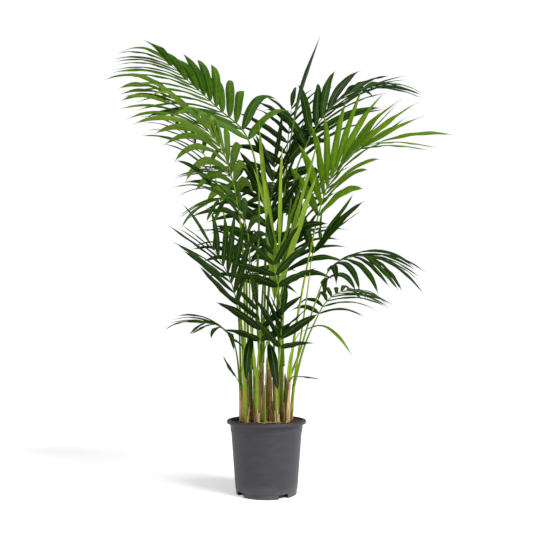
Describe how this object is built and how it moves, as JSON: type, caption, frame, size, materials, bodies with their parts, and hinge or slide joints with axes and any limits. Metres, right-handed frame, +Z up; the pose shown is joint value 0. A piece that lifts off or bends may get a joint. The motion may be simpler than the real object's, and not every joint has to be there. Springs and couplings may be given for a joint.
{
  "type": "potted palm",
  "caption": "Kentia palm with arching feather fronds on clustered green canes, planted in a round tapered dark grey nursery pot with a rolled rim and drainage slots",
  "frame": {"origin": "centre of the pot's flat base, on the surface that it stands on", "axes": "+Z up; the front of the plant faces -Y and its right side is +X"},
  "size_m": [1.1783, 0.9522, 1.627],
  "materials": {
    "pot_plastic": "matte moulded polypropylene, fine grain",
    "soil": "loose damp potting soil",
    "cane_skin": "smooth green leaf sheaths, satin",
    "husk_skin": "dry fibrous brown sheaths, matte",
    "leaf": "satin mid to dark green leaf, matte below",
    "young_leaf": "satin light yellow-green leaf, matte below"
  },
  "bodies": {
    "root": {"cane_10_fibrous": "cane_skin", "cane_11_slim": "cane_skin", "cane_1_cut": "husk_skin", "cane_2_green": "cane_skin", "cane_3_olive": "cane_skin", "cane_4_green": "cane_skin", "cane_5_husky": "husk_skin", "cane_7_brown": "husk_skin", "cane_8_green": "cane_skin", "cane_9_knobbly": "cane_skin", "frond_bottom_left": "leaf", "frond_drooping_right": "leaf", "frond_front_centre": "leaf", "frond_high_left_front": "leaf", "frond_high_right_front": "young_leaf", "frond_inner_left": "leaf", "frond_inner_right": "leaf", "frond_left_back": "leaf", "frond_low_back_left": "leaf", "frond_low_back_right": "leaf", "frond_low_centre": "leaf", "frond_low_front": "leaf", "frond_low_left": "leaf", "frond_low_right_back": "leaf", "frond_mid_back": "leaf", "frond_mid_left": "leaf", "frond_mid_right": "leaf", "frond_slim_left": "leaf", "frond_top_centre": "leaf", "frond_top_left": "leaf", "frond_top_right": "leaf", "frond_young_centre": "young_leaf", "leaf_hanging_centre": "leaf", "leaf_hanging_left": "leaf", "leaf_single_right": "young_leaf", "leaf_small_left": "leaf", "leaf_small_right": "leaf", "pot": "pot_plastic", "shoot_slim": "cane_skin", "soil": "soil", "spear_leaf_top": "leaf"}
  },
  "joints": []
}
